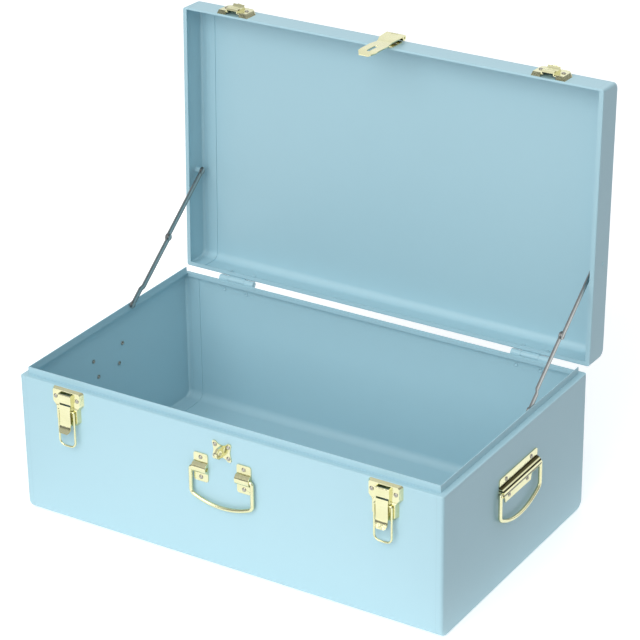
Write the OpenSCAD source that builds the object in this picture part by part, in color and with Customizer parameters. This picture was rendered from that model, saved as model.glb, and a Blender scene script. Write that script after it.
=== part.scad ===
// Small tin trunk: a folded sheet-steel box with a hinged lid that stands open.
// Millimetres. X runs along the front, the front faces -Y, Z is up.
// The origin is the centre of the underside, on the surface that the trunk stands on.

/* [Trunk] */
// Length of the trunk along its front
trunk_w = 500; // [420:5:620]
// Depth from the front wall to the rear wall
trunk_d = 300; // [260:5:380]
// Height of the body up to the seam with the lid
body_h = 158; // [130:1:220]
// Height of the lid above the seam
lid_h = 34; // [31:1:60]
// Thickness of the steel sheet
sheet = 0.8; // [0.6:0.1:1.2]
// Radius of the rolled edge round each end panel
edge_r = 3.5; // [3:0.5:6]
// Radius of the long folds under the body
body_fold_r = 11; // [7:0.5:16]
// Radius of the long fold at the front of the lid
lid_front_fold_r = 8; // [5:0.5:12]
// Radius of the long fold at the rear of the lid
lid_rear_fold_r = 9.5; // [5:0.5:12]
// Width of the end panel's flange along the front
end_flange = 7.5; // [7.4:0.1:9]
// Width of the inner lap that joins an end panel to the wrapped sheet
lap_w = 12; // [6:1:20]

/* [Rim] */
// Width of the ledge that the closed lid rests on
ledge_w = 6.6; // [6:0.1:7.2]
// Height of the lip that stands on the ledge
lip_h = 7.8; // [6:0.2:12]
// Bend radius at the top edge of the walls
rim_r = 1.5; // [1.2:0.1:2]
// Width of the hem along the top of the rear wall
rear_hem = 5.5; // [4:0.1:6]
// Drop of the turned-down edge of the rear hem
rear_hem_drop = 4; // [2:0.5:6]
// Width of the flange turned in round the sides and rear of the lid
lid_flange = 5; // [3:0.1:5.4]
// Width of the narrow hem along the front of the lid
lid_front_hem = 2; // [1.9:0.1:3]
// Gap between the ledge and the closed lid
lid_gap = 0.2; // [0.1:0.05:0.5]

/* [Hinges] */
// Angle at which the lid stands open
lid_open = 91.8; // [80:0.1:100]
// Distance of the hinge pins behind the rear wall
hinge_back = 4; // [3.8:0.1:5]
// Distance of each hinge from the centre
hinge_x = 182.5; // [120:0.5:190]
// Length of a hinge
hinge_len = 44; // [36:1:60]
// Length of the centre knuckle
hinge_mid = 20.5; // [12:0.5:24]
// Outer radius of a hinge knuckle
knuckle_r = 3.6; // [3:0.1:3.7]
// Radius of a hinge pin
hinge_pin_r = 1.5; // [1.2:0.1:1.8]
// Height of a hinge leaf
hinge_leaf_h = 19; // [15:0.5:22]
// Thickness of hinge leaves, handle plates and the hasp
leaf_t = 1.2; // [1:0.1:1.3]
// Distance of the hinge rivets from the seam
hinge_rivet_z = 11; // [9:0.5:13]
// Distance of the hinge rivets from the hinge's centre
hinge_rivet_x = 14.4; // [10:0.1:16]

/* [Rivets] */
// Radius of a rivet shank
rivet_r = 1.5; // [1:0.1:1.7]
// Radius of a rivet head
rivet_head_r = 2.4; // [2:0.1:2.6]
// Height of a rivet head
rivet_head_h = 1.1; // [0.6:0.1:1.2]
// Height of the flattened tail inside the trunk
rivet_tail_h = 0.7; // [0.4:0.1:1]
// Clearance of a shank in its hole
rivet_fit = 0.05; // [0.02:0.01:0.1]

/* [Latches] */
// Distance of each latch from the centre
latch_x = 187.5; // [120:0.5:200]
// Width across the ears of the latch base
latch_w = 38; // [34:0.5:44]
// Height of the pressed latch base off the wall
latch_rise = 4.6; // [4.4:0.1:4.7]
// Thickness of the latch stampings
latch_t = 0.9; // [0.7:0.1:1]
// Height of the latch base
latch_base_h = 40; // [38:0.5:44]
// Width of the latch lever
lever_w = 13.6; // [12:0.2:14]
// How far the lever's face stands off the wall
lever_proud = 8.2; // [8:0.1:8.6]
// Depth of the lever's pivot below the seam
lever_pivot_z = 18.6; // [18:0.1:19]
// Depth of the link's pivot below the seam
link_pivot_z = 22.6; // [22.2:0.1:23.2]
// Radius of the latch link wire
link_r = 1.1; // [0.9:0.1:1.2]
// Half the width of the latch link at its legs
link_half = 9.75; // [9.5:0.05:10]
// Length of the latch link from pivot to end bar
link_len = 40.8; // [39:0.2:42]

/* [Hasp] */
// Half the width of the hasp strap at the knuckle
strap_half = 9.75; // [8:0.25:12]
// Length of the hasp strap below the seam
strap_drop = 41.5; // [38:0.5:46]
// Height of the hasp's pin above the seam
hasp_pin_z = 24; // [20:0.5:26]
// Distance of the hasp's pin off the lid
hasp_pin_out = 4.6; // [4.4:0.1:5]
// Width of the slot in the hasp strap
slot_w = 4; // [3.6:0.1:5]
// Thickness of the staple's loop
staple_t = 3; // [2:0.1:3.2]
// How far the staple stands off the wall
staple_out = 12; // [11:0.5:14]

/* [Handles] */
// Radius of the handle wire
wire_r = 2; // [1.5:0.1:2.5]
// Distance of the handle wire's axis off the wall
wire_out = 3.6; // [3.2:0.1:4]
// Thickness of the metal over the handle wire
bead_t = 0.8; // [0.6:0.1:1.2]
// Running clearance of the handle wire in its bead
wire_fit = 0.08; // [0.04:0.01:0.1]
// Depth of the front handle's pivot below the seam
front_pivot_z = 44.5; // [42:0.5:50]
// Distance of the front handle's brackets from the centre
bracket_x = 25.6; // [22:0.2:40]
// Width of a front handle bracket
bracket_w = 16.8; // [14:0.2:20]
// Height of a front handle bracket
bracket_h = 31.8; // [28:0.2:36]
// Drop of the front handle below its pivot
front_drop = 38.5; // [32:0.5:48]
// Depth of the side handles' pivot below the seam
side_pivot_z = 50; // [44:0.5:60]
// Width of a side handle plate
side_plate_w = 79; // [70:0.5:100]
// Height of a side handle plate
side_plate_h = 31; // [28:0.5:36]
// Drop of a side handle below its pivot
side_drop = 40; // [34:0.5:50]

/* [Stays] */
// Width of a stay arm
stay_w = 9; // [8:0.5:10]
// Thickness of a stay arm
stay_t = 1.5; // [1.2:0.1:1.6]
// Distance of the stay's foot behind the centre
stay_foot_y = 38; // [30:0.5:45]
// Height of the stay's foot above the seam
stay_foot_z = 4.5; // [4:0.1:4.8]
// Distance of the stay's lid pivot behind the centre, lid closed
stay_lid_y = 42; // [36:0.5:50]
// Height of the stay's lid pivot above the seam, lid closed
stay_lid_z = 20; // [18:0.5:22]
// Radius of the stay rivets
stay_rivet_r = 1.9; // [1.5:0.1:2.2]

/* [Hidden] */
$fn = 48;
bit = 0.01;
half_w = trunk_w / 2;
half_d = trunk_d / 2;
seam_x = half_w - end_flange;
lip_face_x = half_w - ledge_w;
lip_inner_x = lip_face_x - sheet;
lip_y = half_d - ledge_w;
lip_rear_y = half_d - ledge_w - 0.4;
lap_fit = 0.05;
lap_top = 3;
ring_steps = 6;
roll_steps = 4;
hinge_y = half_d + hinge_back;
tail_r = rivet_head_r + 0.1;
hole_r = rivet_r + rivet_fit;
pin_fit = 0.05;

blue = [0.74, 0.88, 0.92];
brass = [0.86, 0.80, 0.58];
zinc = [0.62, 0.64, 0.66];

// Latch values, measured down from the seam and out from the wall
lever_pivot_out = 5.4;
lever_pin_r = 1.2;
lever_start = lever_pivot_z - 2.6;
lever_flat_end = 36;
lever_tip_z = 46.5;
lever_tip_out = 12.6;
link_out = 6;
housing_w = lever_w + 0.4 + 2 * latch_t;
housing_top = 3.8;
housing_front_end = lever_start - 1.7;
latch_window_top = 13.4;
latch_window_h = 16.6;
housing_end = lever_pivot_z + 2.6;
latch_rivet_x = 13.3;
latch_rivet_z = 9.2;

// Catch values, measured up from the seam
catch_h = 22.5;
catch_box_half = 7;
catch_box_end = 16;
catch_rivet_x = 12.6;
catch_rivet_z = 11.5;
catch_window_half = 8.5;
hook_end_z = 22.5;
hook_out = 12;

// Hasp values
hasp_knuckle_r = 3.2;
hasp_pin_r = 1.2;
hasp_mid = 3.6;
hasp_rivet_x = 6;
hasp_rivet_z = 12;
strap_tip_r = 9;

// Staple values
staple_z = 19.8;
staple_plate_w = 22;
staple_plate_h = 20;
staple_loop_h = 12;
staple_hole_r = 3.4;
staple_rivet_x = 7.85;
staple_rivet_z = 6.3;
slot_top = staple_z - staple_loop_h / 2 - 2;
slot_end = staple_z + staple_loop_h / 2 + 5;

// Handle values
bead_r = wire_out + wire_r + bead_t;
front_leg_x = bracket_x + bracket_w / 2 + wire_r + 0.6;
side_leg_y = side_plate_w / 2 + wire_r + 0.5;
side_rivet_top = [26.4, 11.3];
side_rivet_low = [19, -10];

// Stay values: the arms lie in two layers inside the lip
stay_clear = 0.3;
stay_between = 0.2;
stay_outer_x = lip_inner_x - stay_clear;
stay_inner_x = stay_outer_x - stay_t - stay_between;
stay_joggle = 20;
stay_joggle_len = 4;
stay_foot = [stay_foot_y, body_h + stay_foot_z];
stay_head = opened([stay_lid_y, body_h + stay_lid_z]);
stay_span = norm(stay_head - stay_foot);
stay_arm = stay_span / 2;
stay_angle = atan2(stay_head[1] - stay_foot[1], stay_head[0] - stay_foot[0]);
stay_hole_r = stay_rivet_r + 0.1;
stay_head_r = 3.5;
stay_head_t = 0.8;
post_r = 3.4;

// A point of the closed lid, as [y, z], carried round to the open lid
function opened(p) = [
    hinge_y + (p[0] - hinge_y) * cos(lid_open) + (p[1] - body_h) * sin(lid_open),
    body_h - (p[0] - hinge_y) * sin(lid_open) + (p[1] - body_h) * cos(lid_open)
];

// Frames: the lid swung open, the front wall, the closed lid's front and an end wall

module open_lid() {
    translate([0, hinge_y, body_h])
        rotate([-lid_open, 0, 0])
            translate([0, -hinge_y, -body_h])
                children();
}

module at_front(x = 0, z = 0) {
    translate([x, -half_d, body_h + z])
        children();
}

module at_end(side) {
    translate([side * half_w, 0, body_h])
        rotate([0, 0, side * 90])
            children();
}

// A flat outline in x and z, raised off the wall from near to near + depth
module raised(depth, near = 0) {
    translate([0, -near, 0])
        rotate([90, 0, 0])
            linear_extrude(depth)
                children();
}

// A side profile in distance off the wall and z, drawn out along x
module across(width) {
    rotate([90, 0, -90])
        linear_extrude(width, center = true)
            children();
}

// A profile in y and z, drawn out along x between two planes
module along_x(from, to) {
    translate([from, 0, 0])
        rotate([90, 0, 90])
            linear_extrude(to - from)
                children();
}

module rounded_square(size, r) {
    for (x = [-1, 1], y = [-1, 1])
        translate([x * (size[0] / 2 - r), y * (size[1] / 2 - r)])
            circle(r);
    square([size[0] - 2 * r, size[1]], center = true);
    square([size[0], size[1] - 2 * r], center = true);
}

// Sheet shells

// Cross section of a tray with its floor at z = 0, inset all round by one distance
module tray_section(inset, top, front_r, rear_r) {
    low = max(front_r, rear_r);
    translate([-half_d + inset, low])
        square([trunk_d - 2 * inset, top - low]);
    translate([-half_d + front_r, inset])
        square([trunk_d - front_r - rear_r, top - inset]);
    translate([-half_d + inset, front_r])
        square([low, top - front_r]);
    translate([half_d - inset - low, rear_r])
        square([low, top - rear_r]);
    translate([-half_d + front_r, front_r])
        circle(front_r - inset);
    translate([half_d - rear_r, rear_r])
        circle(rear_r - inset);
}

// The same cross section with its top closed over by the rim bends
module closed_section(inset, top, front_r, rear_r) {
    tray_section(inset, top - rim_r, front_r, rear_r);
    translate([-half_d + rim_r, top - rim_r - bit])
        square([trunk_d - 2 * rim_r, rim_r - inset + bit]);
    for (s = [-1, 1])
        translate([s * (half_d - rim_r), top - rim_r])
            circle(rim_r - inset);
}

module wrap_section(top, front_r, rear_r, front_turn, rear_turn) {
    difference() {
        closed_section(0, top, front_r, rear_r);
        closed_section(sheet, top, front_r, rear_r);
        translate([-half_d + front_turn, top - 2 * sheet])
            square([trunk_d - front_turn - rear_turn, 3 * sheet]);
    }
}

// One ring of an end panel's outline, drawn in from the sides and from the top
function end_ring(x, inset, top_inset, top, front_r, rear_r) =
    let (
        bend = max(rim_r - inset, rim_r / 4),
        reach = half_d - inset - bend,
        rise = top - top_inset - bend,
        corners = [
            [-half_d + front_r, front_r, front_r - inset, 180],
            [half_d - rear_r, rear_r, rear_r - inset, 270],
            [reach, rise, bend, 0],
            [-reach, rise, bend, 90]
        ]
    )
    [
        for (c = corners, k = [0:ring_steps])
            let (a = c[3] + 90 * k / ring_steps)
                [x, c[0] + c[2] * cos(a), c[1] + c[2] * sin(a)]
    ];

// Block with the end panel's rolled edges, inset all round by one distance
module end_block(from, inset, top, front_r, rear_r) {
    roll = edge_r - inset;
    rim = rim_r - inset;
    rings = [
        end_ring(from, inset, inset, top, front_r, rear_r),
        for (i = [0:roll_steps])
            let (
                turn = 90 * i / roll_steps,
                x = half_w - edge_r + roll * sin(turn),
                past = max(x - half_w + rim_r, 0),
                dip = rim_r - sqrt(max(rim * rim - past * past, 0))
            )
                end_ring(x, edge_r - roll * cos(turn), dip, top, front_r, rear_r)
    ];
    loft(rings);
}

// Closed solid through rings of points that all hold the same count
module loft(rings) {
    sides = len(rings[0]);
    walls = [
        for (i = [0:len(rings) - 2], k = [0:sides - 1])
            let (a = i * sides + k, b = i * sides + (k + 1) % sides)
                each [[a, a + sides, b], [b, a + sides, b + sides]]
    ];
    ends = [
        [for (k = [0:sides - 1]) k],
        [for (k = [sides - 1:-1:0]) (len(rings) - 1) * sides + k]
    ];
    polyhedron([for (ring = rings) each ring], concat(walls, ends));
}

// Strip that laps inside the wrapped sheet behind an end panel's flange
module end_lap(top, front_r, rear_r) {
    lap_section(seam_x - lap_w, seam_x + lap_fit, sheet + lap_fit, top, front_r, rear_r);
    lap_section(seam_x, seam_x + 1, sheet / 2, top, front_r, rear_r);
}

module lap_section(from, to, inset, top, front_r, rear_r) {
    along_x(from, to)
        difference() {
            tray_section(inset, top - lap_top, front_r, rear_r);
            tray_section(2 * sheet + lap_fit, top, front_r, rear_r);
        }
}

module end_shell(top, front_r, rear_r, front_turn, side_turn, rear_turn) {
    open_x = half_w - side_turn - seam_x;
    difference() {
        end_block(seam_x, 0, top, front_r, rear_r);
        end_block(seam_x - 1, sheet, top, front_r, rear_r);
        translate([seam_x - 1, -half_d + front_turn, top - 2 * sheet])
            cube([open_x + 1, trunk_d - front_turn - rear_turn, 3 * sheet]);
    }
    end_lap(top, front_r, rear_r);
}

module lid_tray() {
    translate([0, 0, body_h + lid_h])
        mirror([0, 0, 1])
            children();
}

// Rivets: along local Z, the wall's outer face at z = 0

module dome(r, h) {
    ball = (r * r + h * h) / (2 * h);
    rotate_extrude()
        intersection() {
            translate([0, h - ball])
                circle(ball);
            square([r + 1, h]);
        }
}

// seat is the height of the surface under the head, grip the thickness behind the wall
module rivet(seat, grip = sheet) {
    translate([0, 0, seat])
        dome(rivet_head_r, rivet_head_h);
    translate([0, 0, -grip - bit])
        cylinder(grip + seat + 2 * bit, r = rivet_r);
    translate([0, 0, -grip - rivet_tail_h])
        cylinder(rivet_tail_h, r = tail_r);
}

module rivet_hole() {
    translate([0, 0, -10])
        cylinder(30, r = hole_r);
}

module front_rivet_places(x, z) {
    for (sx = [-1, 1])
        translate([sx * x, 0, z])
            rotate([90, 0, 0])
                children();
}

module latch_rivet_places() {
    for (s = [-1, 1])
        at_front(s * latch_x)
            front_rivet_places(latch_rivet_x, -latch_rivet_z)
                children();
}

module catch_rivet_places() {
    for (s = [-1, 1])
        at_front(s * latch_x)
            front_rivet_places(catch_rivet_x, catch_rivet_z)
                children();
}

module staple_rivet_places() {
    for (z = [-1, 1])
        at_front(0, -staple_z)
            front_rivet_places(staple_rivet_x, z * staple_rivet_z)
                children();
}

module front_handle_rivet_places() {
    for (z = [-1, 1])
        at_front(0, -front_pivot_z)
            front_rivet_places(bracket_x, z * (bracket_h / 2 - 4.8))
                children();
}

module hasp_rivet_places() {
    at_front()
        front_rivet_places(hasp_rivet_x, hasp_rivet_z)
            children();
}

module side_rivet_places(side) {
    for (spot = [side_rivet_top, side_rivet_low])
        at_end(side)
            front_rivet_places(spot[0], spot[1] - side_pivot_z)
                children();
}

module hinge_rivet_places(up) {
    for (h = [-1, 1], s = [-1, 1])
        translate([h * hinge_x + s * hinge_rivet_x, half_d, body_h + up * hinge_rivet_z])
            rotate([-90, 0, 0])
                children();
}

module post_places() {
    for (s = [-1, 1])
        translate([s * half_w, stay_lid_y, body_h + stay_lid_z])
            rotate([0, s * 90, 0])
                children();
}

// Body

module body_wrap() {
    color(blue)
        difference() {
            union() {
                along_x(-seam_x, seam_x)
                    wrap_section(body_h, body_fold_r, body_fold_r, ledge_w + sheet, rear_hem);
                translate([-seam_x, -lip_y, body_h - sheet])
                    cube([2 * seam_x, sheet, lip_h + sheet]);
                translate([-seam_x, half_d - rear_hem, body_h - rear_hem_drop])
                    cube([2 * seam_x, sheet, rear_hem_drop - sheet / 2]);
            }
            latch_rivet_places() rivet_hole();
            staple_rivet_places() rivet_hole();
            front_handle_rivet_places() rivet_hole();
            hinge_rivet_places(-1) rivet_hole();
        }
}

module body_end(side) {
    color(blue)
        difference() {
            mirror([side < 0 ? 1 : 0, 0, 0]) {
                end_shell(body_h, body_fold_r, body_fold_r, ledge_w, ledge_w + sheet, rear_hem);
                translate([lip_inner_x, -lip_y, body_h - sheet])
                    cube([sheet, lip_y + lip_rear_y, lip_h + sheet]);
            }
            side_rivet_places(side) rivet_hole();
        }
}

// Lid, modelled closed

module lid_wrap() {
    open_lid()
        color(blue)
            difference() {
                along_x(-seam_x, seam_x)
                    translate([0, body_h + lid_h])
                        mirror([0, 1])
                            wrap_section(lid_h - lid_gap, lid_front_fold_r, lid_rear_fold_r,
                                lid_front_hem, lid_flange);
                catch_rivet_places() rivet_hole();
                hasp_rivet_places() rivet_hole();
                hinge_rivet_places(1) rivet_hole();
            }
}

module lid_end(side) {
    open_lid()
        color(blue)
            difference() {
                mirror([side < 0 ? 1 : 0, 0, 0])
                    lid_tray()
                        end_shell(lid_h - lid_gap, lid_front_fold_r, lid_rear_fold_r,
                            lid_front_hem, lid_flange, lid_flange);
                post_places() rivet_hole();
            }
}

// Hinges: the outer knuckles belong to the body, the centre one to the lid

module knuckle_span(from, to) {
    translate([from, hinge_y, body_h])
        rotate([0, 90, 0])
            cylinder(to - from, r = knuckle_r);
}

module hinge_web(from, to, up) {
    z = up > 0 ? body_h + lid_gap : body_h - hinge_leaf_h / 2;
    translate([from, half_d, z])
        cube([to - from, leaf_t, hinge_leaf_h / 2 - (up > 0 ? lid_gap : 0)]);
}

module hinge_plate(up) {
    start = sqrt(pow(knuckle_r + 0.3, 2) - pow(hinge_back - leaf_t, 2));
    h = hinge_leaf_h - start;
    translate([0, half_d, body_h + up * (start + h / 2)])
        rotate([-90, 0, 0])
            linear_extrude(leaf_t)
                rounded_square([hinge_len, h], 1);
}

module hinge_leaf(side, up) {
    mid = hinge_mid / 2;
    end = hinge_len / 2;
    spans = up > 0 ? [[-mid, mid]] : [[-end, -mid - 0.25], [mid + 0.25, end]];
    color(blue)
        difference() {
            translate([side * hinge_x, 0, 0])
                difference() {
                    union() {
                        hinge_plate(up);
                        for (span = spans) {
                            knuckle_span(span[0], span[1]);
                            hinge_web(span[0], span[1], up);
                        }
                    }
                    translate([-hinge_len, hinge_y, body_h])
                        rotate([0, 90, 0])
                            cylinder(2 * hinge_len, r = hinge_pin_r + pin_fit);
                }
            hinge_rivet_places(up) rivet_hole();
        }
}

module hinge_pin(side) {
    color(blue)
        translate([side * hinge_x - hinge_len / 2 - 0.4, hinge_y, body_h])
            rotate([0, 90, 0])
                cylinder(hinge_len + 0.8, r = hinge_pin_r);
}

module hinge_rivets(up) {
    color(blue)
        hinge_rivet_places(up)
            rivet(leaf_t);
}

// Latches: pressed base, lever on a cross pin, and a wire link

module latch_outline(grow) {
    w = latch_w / 2 + grow;
    low = latch_w / 2 - 4.5 + grow;
    h = latch_base_h + grow;
    polygon([
        [-w + 1.5, -0.3 + grow], [w - 1.5, -0.3 + grow], [w, -1.8], [w, -15], [low, -20.5],
        [low, -h + 5], [low - 5, -h], [-low + 5, -h], [-low, -h + 5], [-low, -20.5],
        [-w, -15], [-w, -1.8]
    ]);
}

// Pressed pan: the outline slopes in towards its raised face
module latch_pan(grow, h) {
    translate([0, 0, -latch_base_h / 2])
        rotate([90, 0, 0])
            linear_extrude(h, scale = [0.88, 0.95], slices = 1)
                translate([0, latch_base_h / 2])
                    latch_outline(grow);
}

module lever_housing() {
    inner = housing_w - 2 * latch_t;
    difference() {
        across(housing_w)
            polygon([
                [latch_rise - latch_t, -housing_top], [lever_proud - 1, -housing_top],
                [lever_proud, -housing_top - 1], [lever_proud, -housing_front_end + 1.3],
                [lever_proud - 1.2, -housing_front_end - 1.2], [lever_proud - 1.2, -housing_end + 1.2],
                [lever_pivot_out, -housing_end], [latch_rise - latch_t, -housing_end]
            ]);
        translate([-inner / 2, -lever_proud + latch_t, -housing_end - 1])
            cube([inner, lever_proud, housing_end]);
        translate([-inner / 2, -lever_proud - 1, -housing_end - 1])
            cube([inner, lever_proud, housing_end + 1 - housing_front_end]);
    }
}

module latch_base(side) {
    window = [housing_w - 2 * latch_t, latch_window_h];
    color(brass)
        difference() {
            at_front(side * latch_x) {
                difference() {
                    union() {
                        difference() {
                            latch_pan(0, latch_rise);
                            translate([0, bit, 0])
                                latch_pan(-latch_t, latch_rise - latch_t + bit);
                        }
                        lever_housing();
                    }
                    translate([-window[0] / 2, -lever_proud + latch_t, -window[1] - latch_window_top])
                        cube([window[0], lever_proud - latch_t - 1.2, window[1]]);
                    translate([-window[0] / 2, -latch_rise - 1, -latch_window_top - bit])
                        cube([window[0], latch_rise, latch_window_top - housing_top - latch_t]);
                    translate([0, -lever_pivot_out, -lever_pivot_z])
                        rotate([0, 90, 0])
                            cylinder(40, r = lever_pin_r + pin_fit, center = true);
                }
            }
            latch_rivet_places() rivet_hole();
        }
}

// Side outline of the lever's face: flat, one pressed step, then a curled lip
module lever_face_profile() {
    out = lever_proud;
    t = latch_t;
    polygon([
        [out, -lever_start], [out, -lever_pivot_z - 0.8], [out + 0.4, -lever_pivot_z - 1.4],
        [out + 0.2, -lever_flat_end], [out + 0.9, -lever_flat_end - 3.6],
        [out + 2.2, -lever_flat_end - 6.6], [lever_tip_out, -lever_tip_z],
        [lever_tip_out - t, -lever_tip_z - 0.3], [out + 1, -lever_flat_end - 7],
        [out - 0.1, -lever_flat_end - 3.8], [out - t, -lever_flat_end],
        [out - t, -lever_start]
    ]);
}

module lever_cheek_profile() {
    translate([lever_pivot_out, -lever_pivot_z])
        circle(2.6);
    translate([link_out, -link_pivot_z])
        circle(2.3);
    polygon([
        [lever_proud - bit, -lever_start], [lever_proud - 0.2, -lever_flat_end],
        [lever_proud - 1.6, -lever_flat_end], [link_out - 2, -link_pivot_z - 1.4],
        [lever_pivot_out - 2.6, -lever_pivot_z], [lever_pivot_out - 0.6, -lever_start]
    ]);
}

module latch_lever(side) {
    color(brass)
        at_front(side * latch_x)
            difference() {
                union() {
                    intersection() {
                        across(lever_w)
                            lever_face_profile();
                        raised(20)
                            lever_front_outline();
                    }
                    for (s = [-1, 1])
                        translate([s * (lever_w / 2 - latch_t / 2), 0, 0])
                            across(latch_t)
                                lever_cheek_profile();
                }
                translate([0, -lever_pivot_out, -lever_pivot_z])
                    rotate([0, 90, 0])
                        cylinder(40, r = lever_pin_r + pin_fit, center = true);
                translate([0, -link_out, -link_pivot_z])
                    rotate([0, 90, 0])
                        cylinder(40, r = link_r + pin_fit, center = true);
            }
}

// Front outline of the lever with its rounded lower lip
module lever_front_outline() {
    r = 4;
    translate([-lever_w / 2, -lever_tip_z - 0.3 + r])
        square([lever_w, lever_tip_z + 0.3 - r]);
    translate([-lever_w / 2 + r, -lever_tip_z - 0.3])
        square([lever_w - 2 * r, r + 1]);
    for (s = [-1, 1])
        translate([s * (lever_w / 2 - r), -lever_tip_z - 0.3 + r])
            circle(r);
}

module latch_pin(side) {
    len = housing_w + 1;
    color(brass)
        at_front(side * latch_x)
            translate([-len / 2, -lever_pivot_out, -lever_pivot_z])
                rotate([0, 90, 0])
                    cylinder(len, r = lever_pin_r);
}

module latch_rivets() {
    color(brass)
        latch_rivet_places()
            rivet(latch_rise);
}

// Wire loops, hanging from a pivot at the origin in the plane of the wall

// Points of an arc as [x, z, direction that its outside faces]
function arc_points(centre, r, from, to, steps) = [
    for (i = [0:steps])
        let (a = from + (to - from) * i / steps)
            [centre[0] + r * cos(a), centre[1] + r * sin(a), a]
];

// Half of a bail's centre line: bowed grip, corner, leg and the bend into the stub
function half_bail(stub, leg, drop, bend_r, corner_r, bow_r) =
    let (
        bow_z = bow_r - drop,
        corner_x = leg - corner_r,
        corner_z = bow_z - sqrt(pow(bow_r - corner_r, 2) - pow(corner_x, 2)),
        grip = asin(corner_x / (bow_r - corner_r))
    )
    concat(
        arc_points([0, bow_z], bow_r, -90, grip - 90, 5),
        arc_points([corner_x, corner_z], corner_r, grip - 90, 0, 5),
        arc_points([leg - bend_r, -bend_r], bend_r, 0, 90, 4),
        [[stub, 0, 90]]
    );

function whole_bail(half) = concat(
    [for (i = [len(half) - 1:-1:1]) [-half[i][0], half[i][1], -180 - half[i][2]]],
    half
);

// Wire swept along a line in the plane of the wall
module wire(line, r, sides) {
    loft([
        for (p = line)
            [
                for (k = [0:sides - 1])
                    let (turn = 360 * k / sides)
                        [p[0] + r * cos(turn) * cos(p[2]), r * sin(turn), p[1] + r * cos(turn) * sin(p[2])]
            ]
    ]);
}

// Hangs from a pivot at the origin; its stubs are true cylinders that turn in their bearings
module bail(r, stub_in, leg, drop, bend_r, corner_r, bow_r, sides = 10) {
    stub_end = leg - bend_r;
    wire(whole_bail(half_bail(stub_end - 0.6, leg, drop, bend_r, corner_r, bow_r)), 0.99 * r, sides);
    for (m = [0, 1])
        mirror([m, 0, 0])
            translate([stub_in, 0, 0])
                rotate([0, 90, 0])
                    cylinder(stub_end - stub_in, r = r);
}

module latch_link(side) {
    color(brass)
        at_front(side * latch_x)
            translate([0, -link_out, -link_pivot_z])
                bail(link_r, lever_w / 2 - latch_t, link_half, link_len, 1.8, 6, 34, 8);
}

// Catches on the lid: pressed base, hollow box and the hook for the link

module catch_outline(grow) {
    w = latch_w / 2 + grow;
    top = catch_h + grow;
    translate([0, 0.5 - grow]) {
        translate([-w, 0])
            square([2 * w, top - 6]);
        translate([-w + 6, 0])
            square([2 * w - 12, top]);
    }
    for (s = [-1, 1])
        translate([s * (w - 6), top - 5.5 - grow])
            circle(6, $fn = 24);
}

module catch_pan(grow, h) {
    translate([0, 0, catch_h / 2])
        rotate([90, 0, 0])
            linear_extrude(h, scale = [0.9, 0.92], slices = 1)
                translate([0, -catch_h / 2])
                    catch_outline(grow);
}

module catch_box_profile() {
    polygon([
        [latch_rise - latch_t, 0.9], [lever_proud - 0.8, 0.9], [lever_proud, 1.7],
        [lever_proud, catch_box_end - 1], [hook_out, hook_end_z], [hook_out - 1.1, hook_end_z + 0.4],
        [lever_proud - 1, catch_box_end], [latch_rise - latch_t, catch_box_end]
    ]);
}

module catch_plate(side) {
    inner = catch_box_half - latch_t;
    open_lid()
        color(brass)
            difference() {
                at_front(side * latch_x)
                    difference() {
                        union() {
                            catch_pan(0, latch_rise);
                            across(2 * catch_box_half)
                                catch_box_profile();
                        }
                        translate([0, bit, 0])
                            catch_pan(-latch_t, latch_rise - latch_t + bit);
                        translate([-inner, -lever_proud + latch_t, 0])
                            cube([2 * inner, lever_proud - 1, catch_box_end - latch_t]);
                        translate([-catch_window_half, -latch_rise + latch_t, -1])
                            cube([2 * catch_window_half, latch_rise, 4]);
                    }
                catch_rivet_places() rivet_hole();
            }
}

module catch_rivets() {
    open_lid()
        color(brass)
            catch_rivet_places()
                rivet(latch_rise);
}

// Hasp: leaf on the lid, strap, pin and the staple that it drops over

module hasp_axis() {
    at_front()
        translate([0, -hasp_pin_out, hasp_pin_z])
            rotate([0, 90, 0])
                children();
}

module hasp_leaf() {
    open_lid()
        color(brass)
            difference() {
                union() {
                    at_front() {
                        raised(leaf_t)
                            translate([0, (hasp_pin_z - 1) / 2 + 0.5])
                                rounded_square([2 * strap_half + 0.5, hasp_pin_z - 3], 2);
                        translate([-hasp_mid, -hasp_pin_out, hasp_pin_z - hasp_knuckle_r])
                            cube([2 * hasp_mid, hasp_pin_out, leaf_t]);
                    }
                    hasp_axis()
                        cylinder(2 * hasp_mid, r = hasp_knuckle_r, center = true);
                }
                hasp_axis()
                    cylinder(40, r = hasp_pin_r + pin_fit, center = true);
                hasp_rivet_places() rivet_hole();
            }
}

// Side outline of the strap: it leaves the knuckle, dips at the seam and ends near the wall
function strap_line() = [
    [hasp_pin_out + hasp_knuckle_r, hasp_pin_z], [6.6, 8.5], [5.4, 3.4], [4.6, 0],
    [4.6, -28], [3.9, -33], [2.6, -strap_drop]
];

module strap_side_profile() {
    outer = strap_line();
    inner = [for (i = [len(outer) - 1:-1:0]) [outer[i][0] - leaf_t, outer[i][1]]];
    polygon(concat(outer, inner));
}

module strap_front_outline() {
    neck = strap_half - 1.75;
    wide = strap_half + 1.25;
    difference() {
        union() {
            polygon([
                [-strap_half, hasp_pin_z], [-strap_half, 12], [-neck, 1.5], [-neck, -1.5],
                [-wide, -11], [-wide, -31], [-strap_tip_r + 2.6, -strap_drop + 3.1], [strap_tip_r - 2.6, -strap_drop + 3.1],
                [wide, -31], [wide, -11], [neck, -1.5], [neck, 1.5],
                [strap_half, 12], [strap_half, hasp_pin_z]
            ]);
            translate([0, -strap_drop + strap_tip_r])
                circle(strap_tip_r);
        }
        translate([0, -(slot_top + slot_end) / 2])
            rounded_square([slot_w, slot_end - slot_top], 1.9);
    }
}

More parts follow.
